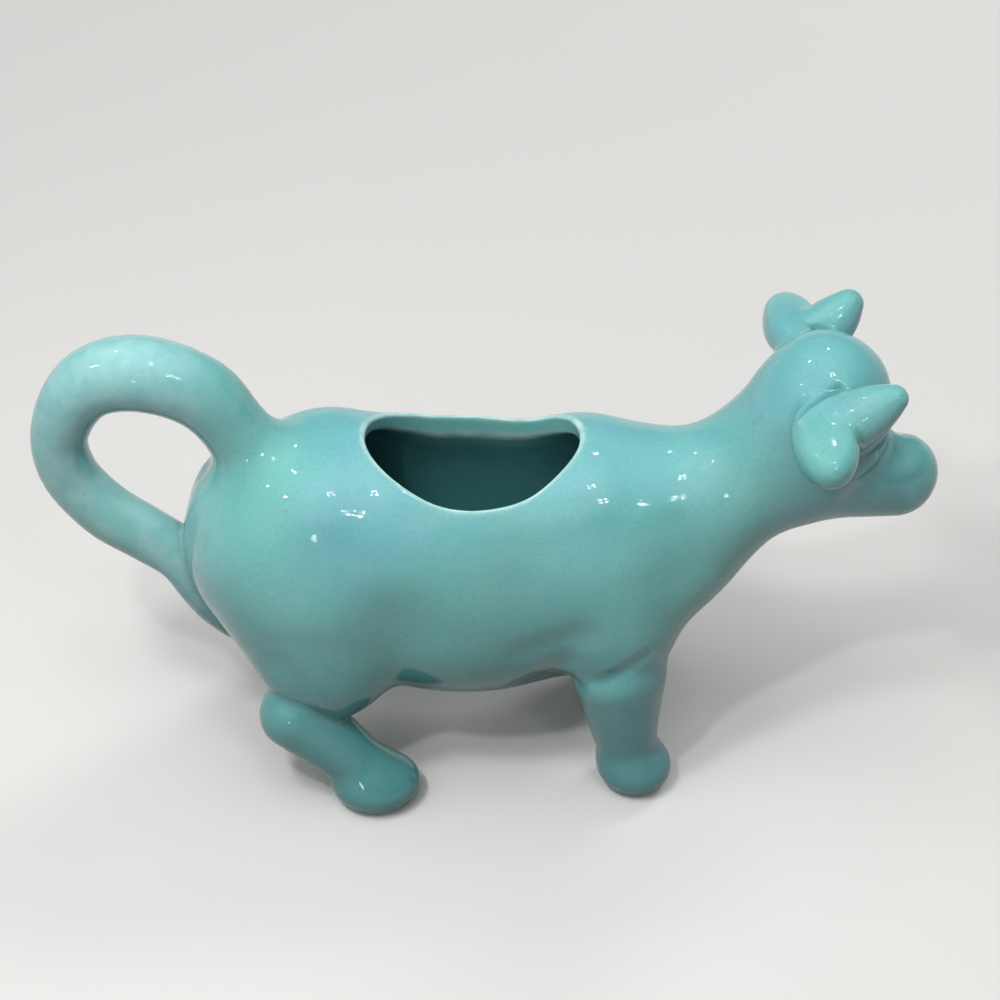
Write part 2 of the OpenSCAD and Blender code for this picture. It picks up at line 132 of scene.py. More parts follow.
# Course of the tail from inside the rump, over the loop and down to the tuft's tip, as
# (x, z, width across the middle plane over thickness, thickness)
TAIL = [(-44.5, 69.5, 1, 21), (-51.2, 82.7, 1, 14.6), (-58.6, 93.3, 1, 15.2),
        (-70.4, 97.9, 1, 15.6), (-81.7, 94.9, 1, 14.2), (-88.5, 83.7, 1, 11.8),
        (-88.0, 72.6, 1, 11.8), (-82.0, 63.2, 1, 12.2), (-74.0, 56.5, 1, 11.8),
        (-67.0, 50.6, 1.1, 11), (-64.0, 43.6, 1.4, 9), (-60.6, 36.4, 1.4, 7.8),
        (-56.2, 29.4, 1.3, 5.4), (-52.2, 24.8, 1.2, 2.6)]
# Rows of a course to each span between its points
TAIL_STEPS = 5
HORN_STEPS = 4

# How far the forms melt together. The tail's blend narrows over the heights of TUFT_TOP,
# as the tuft only lies against the rump
BODY_BLEND = 10
LIMB_BLEND = 7.5
NECK_BLEND = 11
HEAD_BLEND = 8
HOOF_BLEND = 3.8
TAIL_BLEND = 5
TUFT_BLEND = 1.2
TUFT_TOP = (56, 70)
LEG_BLEND = 1.8
HORN_BLEND = 2.2
EAR_BLEND = 1.4
# Depth of the dish in an ear, and how far it reaches as a share of the ear's half width, squared
EAR_DISH, DISH_REACH = 0.5, 0.7
# How flat a pressed oval is: 2 is an ellipsoid, more is flatter
PAD_POWER = 2.5
# Most that half a bar's width may change for its length
STEEPEST_TAPER = 0.95

# Openings
FILL = dict(x=-3, wide=44.6, near=16.2, far=15.7, floor=44)
# The opening's near edge is more pointed than an ellipse, and its far edge is squarer
NEAR_POWER, FAR_POWER = 1.9, 2.3
RIM_ROUND = 1.1
CAVITY_ROUND = 0.5
# The wall is pared thinner by this near the filling opening, and as far as this
RIM_PARED, RIM_REACH = 1.6, 7
BORE = dict(wide=7.2, slope=30)
BORE_ROUND = 1.6
SOLE_ROUND = 1.2
# The neck is cut square here for luting the head on
SEAM = dict(at=(52.4, 0, 70.7), lean=45)

# Size of a cell of the mesh, and how many cells a block has along each side
CELL = 0.8
BLOCK = 8
# Most that the field changes over a millimetre, and how far round the clay it is searched
STEEPEST = 1.35
MARGIN = 6
AT_ONCE = 400000
# Times that the mesh is evened out
RELAX_ROUNDS = 3
# Edges are split where the surface turns by more than BEND degrees over them, if they are
# longer than SHORTEST
REFINE_ROUNDS = 2
BEND = 10
SHORTEST = 0.25
# Distances over which the field's slope and its curvature are measured
SLOPE_STEP = 0.05
CURVE_STEP = 1.6
# A cut that passes a point within this share of a cell goes through the point
SNAP = 0.12
# Fewer triangles than this on their own are an island left by a cut
ISLAND = 200
# A depth or a distance that counts as far off
FAR = 1000.0
# Lines are pressed into points within this of the skin
SKIN = 6
# Added to what is divided by, and a distance of less than SMALL counts as none
TINY = 1e-9
SMALL = 1e-6
# Share of an open loop's points on the seam, above which it is the neck's and not a limb's
SEAM_SHARE = 0.9

# Boxes outside which a form or a line isn't worked out: lowest and highest corner, those
# of the limbs, horns and ears on the near side
TAIL_BOX = (-105, -22, 20), (-30, 22, 115)
FORELEG_BOX = (5, -45, -10), (55, 0, 60)
HINDLEG_BOX = (-65, -45, -10), (-5, 0, 50)
HORN_BOX = (50, -40, 80), (95, 0, 115)
EAR_BOX = (45, -50, 75), (90, 0, 115)
EVERYWHERE = (-FAR, -FAR, -FAR), (FAR, FAR, FAR)
CREASE_BOX = (10, -FAR, -FAR), (45, FAR, 55)
EAR_LINE_BOX = (55, -FAR, 92), (78, FAR, FAR)


# Forms. Each takes points as an array of rows and gives a depth for each row, below zero
# inside the form. In them p is the points, q the points mirrored to the near side, and d
# the depth so far

def turned(p, axis, degrees):
    """Points turned back by an angle about the Y axis (nose down) or the X axis."""
    c, s = math.cos(math.radians(degrees)), math.sin(math.radians(degrees))
    x, y, z = p.T
    if axis == "Y":
        return np.stack([x * c - z * s, y, x * s + z * c], 1)
    return np.stack([x, y * c + z * s, z * c - y * s], 1)


def leant(p, mid, lean, roll):
    """Points as an oval sees them, with its middle as their origin."""
    off = p - np.array(mid, float)
    if lean:
        off = turned(off, "Y", lean)
    if roll:
        off = turned(off, "X", roll)
    return off


def oval(p, mid, size, lean=0, roll=0):
    """An ellipsoid, rolled about X and then leant nose down about Y."""
    half = np.array(size, float) / 2
    share = leant(p, mid, lean, roll) / half
    out = np.sqrt((share * share).sum(1))
    steep = share / half
    return out * (out - 1) / (np.sqrt((steep * steep).sum(1)) + TINY)


def pad(p, mid, size, lean=0, roll=0):
    """An oval pressed flat above and below, with a slight dish in its upper face."""
    half = np.array(size, float) / 2
    share = leant(p, mid, lean, roll) / half
    across = np.sqrt((share[:, :2] ** 2).sum(1)) + SMALL
    high = np.abs(share[:, 2]) + SMALL
    out = (across ** PAD_POWER + high ** PAD_POWER) ** (1 / PAD_POWER)
    flatter = np.stack([across, across, high], 1) ** (PAD_POWER - 2)
    steep = share * flatter / half
    d = out ** (PAD_POWER - 1) * (out - 1) / (np.sqrt((steep * steep).sum(1)) + TINY)
    return d + EAR_DISH * (1 - ease(0, DISH_REACH, across ** 2)) * (share[:, 2] > 0)


def bar(p, a, b, wide_a, wide_b):
    """A round bar that tapers from a to b."""
    a, b = np.array(a, float), np.array(b, float)
    way = b - a
    square = way @ way
    long = math.sqrt(square)
    taper = (wide_a - wide_b) / 2 / long
    taper = min(max(taper, -STEEPEST_TAPER), STEEPEST_TAPER)
    along = (p - a) @ way / square
    aside = p - a - along[:, None] * way
    aside = np.sqrt((aside * aside).sum(1))
    t = np.clip(along - aside * taper / math.sqrt(1 - taper * taper) / long, 0, 1)
    off = p - a - t[:, None] * way
    return np.sqrt((off * off).sum(1)) - (wide_a + (wide_b - wide_a) * t) / 2


def melt(a, b, blend):
    """The union of two forms, rounded where they meet."""
    near = np.maximum(blend - np.abs(a - b), 0) / blend
    return np.minimum(a, b) - near * near * blend / 4


def carve(a, b, blend):
    """What two forms share, rounded where they meet."""
    return -melt(-a, -b, blend)


def near_side(p):
    """The points mirrored to the near side, where y is below zero."""
    return np.stack([p[:, 0], -np.abs(p[:, 1]), p[:, 2]], 1)


def ease(low, high, x):
    """From 0 at low to 1 at high, smoothly."""
    t = np.clip((x - low) / (high - low), 0, 1)
    return t * t * (3 - 2 * t)


def within(p, box):
    low, high = np.array(box, float)
    return ((p > low) & (p < high)).all(1)


def only_near(p, box, form, *more):
    """A form worked out only for the points in a box, and far off elsewhere. What more is
    given for each point goes to the form as well."""
    here = within(p, box)
    d = np.full(len(p), FAR)
    if here.any():
        d[here] = form(p[here], *[value[here] for value in more])
    return d


def trunk(p):
    """The barrel with the rump, chest, thighs and shoulders."""
    q = near_side(p)
    d = melt(oval(p, **BARREL), oval(p, **RUMP), BODY_BLEND)
    d = melt(d, oval(p, **CHEST), BODY_BLEND)
    for limb in (THIGH, STIFLE, SHOULDER):
        d = melt(d, oval(q, **limb), LIMB_BLEND)
    return d


def shell(p):
    """Body and head without what is luted on, whose even offset is the cavity."""
    d = melt(trunk(p), bar(p, **NECK), NECK_BLEND)
    return melt(d, melt(oval(p, **DOME), bar(p, **MUZZLE), HEAD_BLEND), HEAD_BLEND)


def course(points, steps):
    """A smooth course through points, as rows with steps rows to a span."""
    p = np.array(points, float)
    p = np.vstack([2 * p[0] - p[1], p, 2 * p[-1] - p[-2]])
    rows = []
    for a, b, c, d in zip(p, p[1:], p[2:], p[3:]):
        for u in np.arange(steps) / steps:
            # A Catmull-Rom curve, from b at 0 to c at 1
            rows.append((2 * b + (c - a) * u + (2 * a - 5 * b + 4 * c - d) * u ** 2
                         + (3 * b - a - 3 * c + d) * u ** 3) / 2)
    return np.array(rows + [p[-2]])


TAIL_ROWS = course(TAIL, TAIL_STEPS)
# The rows of the tuft from its tip up, the only ones that are wider than they are thick
TUFT_ROWS = TAIL_ROWS[TAIL_ROWS[:, 1] < TUFT_TOP[0]][::-1]


def tail(p):
    """The tail from the rump to the tip of its tuft, which is wider than it is thick."""
    def form(p):
        flat = np.interp(p[:, 2], TUFT_ROWS[:, 1], TUFT_ROWS[:, 2])
        narrow = np.stack([p[:, 0], p[:, 1] / flat, p[:, 2]], 1)
        d = np.full(len(p), FAR)
        for (ax, az, _, aw), (bx, bz, _, bw) in zip(TAIL_ROWS, TAIL_ROWS[1:]):
            d = np.minimum(d, bar(narrow, (ax, 0, az), (bx, 0, bz), aw, bw))
        return d
    return only_near(p, TAIL_BOX, form)


def leg(p, shank, hoof):
    """A shank and its hoof, with a groove round the hoof."""
    off = np.abs(p[:, 2] - HOOF_GROOVE["height"])
    groove = HOOF_GROOVE["deep"] * (1 - ease(0, HOOF_GROOVE["reach"], off))
    return melt(bar(p, **shank), oval(p, **hoof) + groove, HOOF_BLEND)


def foreleg(q):
    return only_near(q, FORELEG_BOX, lambda near: leg(near, FORELEG, FORE_HOOF))


def hindleg(q):
    return only_near(q, HINDLEG_BOX, lambda near: leg(near, HINDLEG, HIND_HOOF))


HORN_ROWS, FAR_HORN_ROWS = course(HORN, HORN_STEPS), course(FAR_HORN, HORN_STEPS)


def horn(p, q):
    """Both horns. The near and the far one have each their own course."""
    def form(q, near):
        d = np.full(len(q), FAR)
        for side, rows in ((near, HORN_ROWS), (~near, FAR_HORN_ROWS)):
            for a, b in zip(rows, rows[1:]):
                d[side] = np.minimum(d[side], bar(q[side], a[:3], b[:3], a[3], b[3]))
        return d
    return only_near(q, HORN_BOX, form, p[:, 1] < 0)


def ear(p, q):
    """Both ears. The near and the far one are set differently."""
    def form(q, near):
        return np.where(near, pad(q, **EAR), pad(q, **FAR_EAR))
    return only_near(q, EAR_BOX, form, p[:, 1] < 0)


def swell(p, place, height, reach):
    """How far the skin swells out at points: most at the place, none past its reach."""
    off = np.linalg.norm(p - np.array(place, float), axis=1)
    return height * (1 - ease(0, reach, off))


def pressed(p, line, deep, reach):
    """How deep a pressed line is at points: deepest on the line, none past its reach."""
    rows = np.array(line, float)
    off = np.full(len(p), FAR)
    for a, b in zip(rows, rows[1:]):
        t = np.clip((p - a) @ (b - a) / ((b - a) @ (b - a)), 0, 1)
        off = np.minimum(off, np.linalg.norm(p - a - t[:, None] * (b - a), axis=1))
    return deep * (1 - ease(0, reach, off))


def press(d, q, lines, box):
    """Presses lines into the skin, in a box."""
    skin = (np.abs(d) < SKIN) & within(q, box)
    for line, deep, reach in lines.values():
        d[skin] += pressed(q[skin], line, deep, reach)


def modelled(p, q):
    """Body and head with the soft modelling of the skin."""
    d = shell(p)
    for place, height, reach in SWELLS.values():
        d -= swell(q, place, height, reach)
    press(d, q, LINES, EVERYWHERE)
    return d


def outside(p):
    """The creamer's outer skin, down to its soles."""
    q = near_side(p)
    d = modelled(p, q)
    d = melt(d, tail(p), TUFT_BLEND + (TAIL_BLEND - TUFT_BLEND) * ease(*TUFT_TOP, p[:, 2]))
    d = melt(d, melt(foreleg(q), hindleg(q), LEG_BLEND), LEG_BLEND)
    press(d, q, CREASES, CREASE_BOX)
    d = melt(d, melt(horn(p, q), ear(p, q), EAR_BLEND), HORN_BLEND)
    press(d, q, EAR_LINES, EAR_LINE_BOX)
    for deep, along in WAVES:
        d = d + deep * np.sin(p @ np.array(along) + deep * WAVE_SHIFT)
    return carve(d, -p[:, 2], SOLE_ROUND)


def fill_hole(p):
    """The filling opening, below zero where the clay is left away."""
    near = p[:, 1] < 0
    deep = np.where(near, FILL["near"], FILL["far"])
    power = np.where(near, NEAR_POWER, FAR_POWER)
    x, y = np.abs(p[:, 0] - FILL["x"]) / (FILL["wide"] / 2), np.abs(p[:, 1]) / deep
    across = ((x ** power + y ** power) ** (1 / power) - 1) * deep
    return np.maximum(across, FILL["floor"] - p[:, 2])


def bore(p):
    """The pouring hole, which slopes down and out from inside the muzzle's end."""
    slope_down = math.radians(BORE["slope"])
    way = np.array((math.cos(slope_down), 0, -math.sin(slope_down)))
    off = p - np.array(MUZZLE["b"], float)
    along = off @ way
    aside = off - along[:, None] * way
    return np.maximum(np.sqrt((aside * aside).sum(1)) - BORE["wide"] / 2, -along)


def cavity(p):
    """The milk space, below zero inside it."""
    wall = WALL - RIM_PARED * (1 - ease(0, RIM_REACH, np.abs(fill_hole(p))))
    return shell(p) + wall


def clay(p):
    """The whole creamer."""
    d = carve(outside(p), -cavity(p), CAVITY_ROUND)
    d = carve(d, -fill_hole(p), RIM_ROUND)
    return carve(d, -bore(p), BORE_ROUND)


# Mesh over a field

def in_parts(field, p):
    """The field at points, worked out for AT_ONCE of them at a time."""
    return np.concatenate([field(p[i:i + AT_ONCE]) for i in range(0, len(p), AT_ONCE)])


# The corners of a cell, and the pairs of them that an edge joins
CORNERS = np.array([(i, j, k) for i in (0, 1) for j in (0, 1) for k in (0, 1)])
EDGES = [(a, b) for a in range(8) for b in range(a + 1, 8)
         if np.abs(CORNERS[a] - CORNERS[b]).sum() == 1]


def net(field, low, high, cell):
    """A mesh of squares over the field's zero: one point in each cell that it crosses."""
    wide = cell * BLOCK
    count = np.ceil((high - low) / wide).astype(int)
    blocks = np.stack(np.meshgrid(*[np.arange(n) for n in count], indexing="ij"), -1).reshape(-1, 3)
    middle = low + (blocks + 0.5) * wide
    # Only the blocks that the zero may cross are worked out
    reach = STEEPEST * wide * math.sqrt(3) / 2 + cell
    blocks = blocks[np.abs(in_parts(field, middle)) < reach]
    span = np.arange(BLOCK + 1)
    local = np.stack(np.meshgrid(span, span, span, indexing="ij"), -1)
    at = low + (blocks[:, None, None, None] * BLOCK + local) * cell
    value = in_parts(field, at.reshape(-1, 3)).reshape(at.shape[:-1])
    corner = [value[:, i:i + BLOCK, j:j + BLOCK, k:k + BLOCK] for i, j, k in CORNERS]
    under = sum((c < 0).astype(int) for c in corner)
    block, i, j, k = np.nonzero((under > 0) & (under < 8))
    index = blocks[block] * BLOCK + np.stack([i, j, k], 1)
    depth = np.stack([c[block, i, j, k] for c in corner], 1)
    # The point of a cell is the mean of the places where its edges are crossed
    total, crossings = np.zeros((len(depth), 3)), np.zeros(len(depth))
    for a, b in EDGES:
        cross = (depth[:, a] < 0) != (depth[:, b] < 0)
        t = np.where(cross, depth[:, a] / np.where(cross, depth[:, a] - depth[:, b], 1), 0)
        total += np.where(cross[:, None], CORNERS[a] + t[:, None] * (CORNERS[b] - CORNERS[a]), 0)
        crossings += cross
    points = low + (index + total / crossings[:, None]) * cell
    size = count * BLOCK
    key = (index[:, 0] * size[1] + index[:, 1]) * size[2] + index[:, 2]
    order = np.argsort(key)
    step = np.array([size[1] * size[2], size[2], 1])
    # A square joins the four cells round each crossed edge, which runs from corner 0 to the
    # corner next to it along an axis. It is turned to face out of the clay
    squares = []
    for axis in range(3):
        one, two = step[(axis + 1) % 3], step[(axis + 2) % 3]
        beside = (4, 2, 1)[axis]
        cross = (depth[:, 0] < 0) != (depth[:, beside] < 0)
        here = key[cross]
        square = np.stack([here, here - one, here - one - two, here - two], 1)
        inward = depth[cross, 0] >= 0
        square[inward] = square[inward][:, ::-1]
        squares.append(order[np.searchsorted(key, square, sorter=order)])
    return points, np.concatenate(squares)


def edges_of(faces):
    """The edges of triangles or squares, the first edge of each before the second of any."""
    sides = faces.shape[1]
    return np.concatenate([faces[:, [i, (i + 1) % sides]] for i in range(sides)])


def slope(field, p):
    """Value and gradient of the field at points."""
    shift = np.eye(3) * SLOPE_STEP
    gradient = [in_parts(field, p + s) - in_parts(field, p - s) for s in shift]
    return in_parts(field, p), np.stack(gradient, 1) / (2 * SLOPE_STEP)


def settle(field, p, rounds):
    """Moves points onto the field's zero."""
    for _ in range(rounds):
        value, gradient = slope(field, p)
        p = p - (value / ((gradient * gradient).sum(1) + SMALL))[:, None] * gradient
    return p


def relax(p, squares, field):
    """Evens out the mesh along the surface."""
    edges = edges_of(squares)
    both = np.concatenate([edges, edges[:, ::-1]])
    number = np.bincount(both[:, 0], minlength=len(p))
    for _ in range(RELAX_ROUNDS):
        mean = np.stack([np.bincount(both[:, 0], p[both[:, 1], i], minlength=len(p))
                         for i in range(3)], 1) / number[:, None]
        p = settle(field, (p + mean) / 2, 1)
    return p


def triangles(p, squares):
    """Each square as two triangles, parted along its shorter diagonal."""
    a, b, c, d = squares.T
    short = ((p[a] - p[c]) ** 2).sum(1) < ((p[b] - p[d]) ** 2).sum(1)
    one = np.where(short[:, None], np.stack([a, b, c], 1), np.stack([a, b, d], 1))
    two = np.where(short[:, None], np.stack([a, c, d], 1), np.stack([b, c, d], 1))
    return np.concatenate([one, two])


def refine(p, tris, field):
    """Splits the edges over which the surface bends, so that rims and creases are crisp."""
    _, normal = slope(field, p)
    for _ in range(REFINE_ROUNDS):
        unit = normal / (np.linalg.norm(normal, axis=1, keepdims=True) + TINY)
        edges, number = np.unique(np.sort(edges_of(tris), 1), axis=0, return_inverse=True)
        one, two = edges.T
        bends = (unit[one] * unit[two]).sum(1) < math.cos(math.radians(BEND))
        long = np.linalg.norm(p[one] - p[two], axis=1) > SHORTEST
        split = bends & long
        middle = np.where(split, len(p) + np.cumsum(split) - 1, -1)
        new = settle(field, (p[one[split]] + p[two[split]]) / 2, 2)
        normal = np.vstack([normal, slope(field, new)[1]])
        p = np.vstack([p, new])
        mid = middle[number.reshape(3, -1).T]
        count = (mid >= 0).sum(1)
        # Each triangle is turned until its split edges come first
        turn = np.where(count == 1, np.argmax(mid >= 0, 1), 0)
        turn = np.where(count == 2, (np.argmin(mid >= 0, 1) + 1) % 3, turn)
        order = (turn[:, None] + np.arange(3)) % 3
        a, b, c = np.take_along_axis(tris, order, 1).T
        ab, bc, ca = np.take_along_axis(mid, order, 1).T
        # The triangles made of one with one, two or three split edges
        made = [tris[count == 0]]
        for corners, want in (((a, ab, c), 1), ((ab, b, c), 1), ((ab, b, bc), 2), ((a, ab, bc), 2),
                              ((a, bc, c), 2), ((a, ab, ca), 3), ((ab, b, bc), 3),
                              ((ca, bc, c), 3), ((ab, bc, ca), 3)):
            made.append(np.stack(corners, 1)[count == want])
        tris = np.concatenate(made)
    return p, tris


def cut(p, tris, level):
    """Splits the triangles that a level crosses, so that each lies on one side of it.
    Gives points, triangles, the level at each point, and what each triangle came from."""
    level = np.where(np.abs(level) < SNAP * CELL, 0, level)
    side = np.sign(level)
    edges = np.sort(edges_of(tris), 1)
    crossed = edges[side[edges[:, 0]] * side[edges[:, 1]] < 0]
    crossed = np.unique(crossed, axis=0)
    t = level[crossed[:, 0]] / (level[crossed[:, 0]] - level[crossed[:, 1]])
    new = p[crossed[:, 0]] + t[:, None] * (p[crossed[:, 1]] - p[crossed[:, 0]])
    where = {(a, b): len(p) + n for n, (a, b) in enumerate(crossed.tolist())}
    sides = side[tris]
    mixed = (sides.min(1) < 0) & (sides.max(1) > 0)
    made, source = [tris[~mixed]], [np.flatnonzero(~mixed)]
    extra, origin = [], []
    for n in np.flatnonzero(mixed).tolist():
        loop, signs = [], []
        corner = tris[n].tolist()
        for a, b in zip(corner, corner[1:] + corner[:1]):
            loop.append(a)
            signs.append(side[a])
            mid = where.get((min(a, b), max(a, b)))
            if mid is not None:
                loop.append(mid)
                signs.append(0)
        for want in (1, -1):
            part = [point for point, sign in zip(loop, signs) if sign * want >= 0]
            for b, c in zip(part[1:], part[2:]):
                extra.append((part[0], b, c))
                origin.append(n)
    if extra:
        made.append(np.array(extra))
        source.append(np.array(origin))
    return (np.vstack([p, new]), np.concatenate(made),
            np.concatenate([level, np.zeros(len(new))]), np.concatenate(source))


def outer_only(level, p):
    """Keeps a joint's level off the wall of the cavity."""
    return np.maximum(level, -shell(p) - WALL / 2)


def seam_level(p):
    """The plane that parts the head from the body, below zero on the body's side."""
    c, s = math.cos(math.radians(SEAM["lean"])), math.sin(math.radians(SEAM["lean"]))
    return (p - np.array(SEAM["at"])) @ np.array([c, 0, s])


# What is luted onto the body and the head, in the order in which it is cut off
LUTED_ON = ["tail_handle", "foreleg", "hindleg", "horn", "ear"]
PAIRED = LUTED_ON[1:]


def joint_level(name, p):
    """The level that parts a piece luted on from the rest, below zero in the piece."""
    q = near_side(p)
    base = modelled(p, q)
    if name == "tail_handle":
        return tail(p) - base
    if name == "foreleg":
        return foreleg(q) - base
    if name == "hindleg":
        return hindleg(q) - base
    if name == "horn":
        return horn(p, q) - np.minimum(base, ear(p, q))
    return ear(p, q) - np.minimum(base, horn(p, q))


def loops_of(tris):
    """The open edges of a piece, as closed loops of points."""
    pairs = set(map(tuple, edges_of(tris).tolist()))
    after = {}
    for a, b in pairs:
        if (b, a) not in pairs:
            after.setdefault(a, []).append(b)
    loops = []
    while after:
        start = next(iter(after))
        loop, at = [], start
        while True:
            loop.append(at)
            ends = after[at]
            following = ends.pop()
            if not ends:
                del after[at]
            at = following
            if at == start or at not in after:
                break
        loops.append(loop)
    return loops


def fan(p, loop):
    """Closes one loop from its middle, which joins the points."""
    middle = len(p)
    faces = [(b, a, middle) for a, b in zip(loop, loop[1:] + loop[:1])]
    return np.vstack([p, p[loop].mean(0)]), np.array(faces)


def ring(p, outer, inner):
    """Closes the gap between two loops, one inside the other."""
    inner = inner[::-1]
    first = int(np.argmin(((p[inner] - p[outer[0]]) ** 2).sum(1)))
    inner = inner[first:] + inner[:first]
    outer, inner = outer + outer[:1], inner + inner[:1]
    share = []
    for loop in (outer, inner):
        length = np.linalg.norm(np.diff(p[loop], axis=0), axis=1).cumsum()
        share.append([0] + (length / length[-1]).tolist())
    faces, i, j = [], 0, 0
    while i < len(outer) - 1 or j < len(inner) - 1:
        if j == len(inner) - 1 or (i < len(outer) - 1 and share[0][i + 1] <= share[1][j + 1]):
            faces.append((outer[i + 1], outer[i], inner[j]))
            i += 1
        else:
            faces.append((inner[j], inner[j + 1], outer[i]))
            j += 1
    return np.array(faces)


def join_islands(tris, names):
    """Gives each small island of a piece to the piece that lies round it."""
    edges = np.sort(edges_of(tris), 1)
    owner = np.tile(np.arange(len(tris)), 3)
    order = np.lexsort(edges.T)
    edges, owner = edges[order], owner[order]
    meet = (edges[1:] == edges[:-1]).all(1)
    one, two = owner[:-1][meet], owner[1:][meet]
    same = names[one] == names[two]
    patch, before = np.arange(len(tris)), None
    while before is None or (patch != before).any():
        before = patch
        least = np.minimum(patch[one[same]], patch[two[same]])
        patch = patch.copy()
        np.minimum.at(patch, one[same], least)
        np.minimum.at(patch, two[same], least)
        patch = patch[patch]
    small = np.bincount(patch, minlength=len(tris))[patch] < ISLAND
    for number in np.unique(patch[small]):
        island = patch == number
        edge = island[one] != island[two]
        around = np.where(island[one[edge]], names[two[edge]], names[one[edge]])
        kinds, counts = np.unique(around.astype(str), return_counts=True)
        names[island] = kinds[counts.argmax()]
    return names


def build_pieces():
    """The mesh of the creamer cut into its pieces: its points, its triangles, the node of
    each triangle, and whether a point lies on the seam of the neck."""
    low = np.array(cad_low) / MM - MARGIN
    high = np.array(cad_high) / MM + MARGIN
    p, squares = net(clay, low, high, CELL)
    p = settle(clay, p, 2)
    p = relax(p, squares, clay)
    tris = triangles(p, squares)
    p, tris = refine(p, tris, clay)
    names = np.full(len(tris), "", dtype=object)
    for name in LUTED_ON:
        p, tris, level, source = cut(p, tris, outer_only(joint_level(name, p), p))
        names = names[source]
        inside = level[tris].sum(1) < 0
        names[inside & (names == "")] = name
    p, tris, level, source = cut(p, tris, seam_level(p))
    names = names[source]
    head = level[tris].sum(1) > 0
    names[(names == "") & head] = "head"
    names[names == ""] = "body"
    paired = np.isin(names.astype(str), PAIRED)
    left = p[tris][:, :, 1].mean(1) > 0
    names[paired] = names[paired] + np.where(left[paired], "_left", "_right")
    names = join_islands(tris, names)
    on_seam = np.abs(seam_level(p)) < SMALL
    p = settle(clay, p, 1)
    return p, tris, names, on_seam


def close_piece(p, tris, on_seam):
    """Closes a piece: a fan over each joint, and a ring over the seam of the neck. Gives the
    points with the fans' middles, and the faces of the piece, those added last."""
    loops = loops_of(tris)
    on_cut = [loop for loop in loops if on_seam[loop].mean() > SEAM_SHARE]
    faces = [tris]
    for loop in loops:
        if loop not in on_cut:
            p, cap = fan(p, loop)
            faces.append(cap)
    if on_cut:
        faces.append(ring(p, *sorted(on_cut, key=len, reverse=True)))
    return p, np.concatenate(faces)


def add_piece(name, p, normal, marks, tris, on_seam):
    """The piece that stands for a CAD node, with the field's own normals on its skin."""
    p, faces = close_piece(p, tris, on_seam)
    used, inverse = np.unique(faces, return_inverse=True)
    mesh = bpy.data.meshes.new(name)
    mesh.from_pydata((p[used] * MM).tolist(), [], inverse.reshape(-1, 3).tolist())
    corners = p[faces]
    flat = np.cross(corners[:, 1] - corners[:, 0], corners[:, 2] - corners[:, 0])
    flat /= np.linalg.norm(flat, axis=1, keepdims=True) + TINY
    loop_normals = np.repeat(flat[:, None], 3, axis=1)
    loop_normals[:len(tris)] = normal[tris]
    mesh.polygons.foreach_set("use_smooth", np.ones(len(faces), bool))
    mesh.normals_split_custom_set(loop_normals.reshape(-1, 3).tolist())
    for mark, values in marks.items():
        layer = mesh.attributes.new(mark, "FLOAT", "POINT")
        values = np.concatenate([values, np.zeros(len(p) - len(values))])
        layer.data.foreach_set("value", values[used].astype(np.float32))
    piece = bpy.data.objects.new(name + "_glazed", mesh)
    bpy.context.scene.collection.objects.link(piece)
    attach(piece, "root")
    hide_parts(name)
    return piece


# Glaze

# Painted shade: heights over which the glaze is painted darker towards the bottom, most at the
# lowest
LOW_SHADE_HEIGHTS = 6, 72
# Distances from the rim's edges between which their pale line fades
RIM_PALE = 0.45, 1.1
# How far the skin bulges where the glaze starts to run thin and where it is thinnest, and
# how thin it gets there
THIN_BULGE = 0.2, 0.6
THIN_SHARE = 0.6
# The same for the hollows in which it pools
POOL_HOLLOW = 0.03, 0.3
# Painted light on the tail: distances behind the middle between which the tail is painted paler,
# and how pale it gets
TAIL_LIGHT_SPAN = 50, 66
TAIL_LIGHT_SHARE = 0.4
# Painted shade in the cavity: skin this near the cavity's face is painted darker, fully so from
# these distances to the opening on
CAVITY_SKIN = 0.5
CAVITY_SHADE_FROM = 0.5, 3
# Heights between which the glaze was wiped off the soles
WIPED = 0.05, 0.5


def glaze_marks(p):
    """Where the glaze runs thinner over edges and pools in hollows, where shade is painted inside
    the cavity and towards the bottom, where light is painted on the tail, and where the glaze was
    wiped off.
    """
    shift = np.concatenate([np.eye(3), -np.eye(3)]) * CURVE_STEP
    # The field's mean round a point on the skin is above zero where the skin bulges
    bulge = sum(in_parts(clay, p + s) for s in shift) / len(shift)
    across = fill_hole(p)
    rim = np.minimum(np.hypot(across, outside(p)), np.hypot(across, cavity(p)))
    thin_and_lit = THIN_SHARE * ease(*THIN_BULGE, bulge)
    # Painted light: the tail is painted paler, more so further back
    thin_and_lit = np.maximum(thin_and_lit, TAIL_LIGHT_SHARE * ease(*TAIL_LIGHT_SPAN, -p[:, 0]))
    thin_and_lit = np.maximum(thin_and_lit, 1 - ease(*RIM_PALE, rim))
    # Painted shade: the cavity's inside is painted darker
    inside = (np.abs(cavity(p)) < CAVITY_SKIN) * ease(*CAVITY_SHADE_FROM, np.abs(across))
    # The low mark is painted shade, darker towards the bottom
    return {"thin_and_lit": thin_and_lit, "pool": ease(*POOL_HOLLOW, -bulge), "inside": inside,
            "low": 1 - ease(*LOW_SHADE_HEIGHTS, p[:, 2]), "dry": 1 - ease(*WIPED, p[:, 2])}


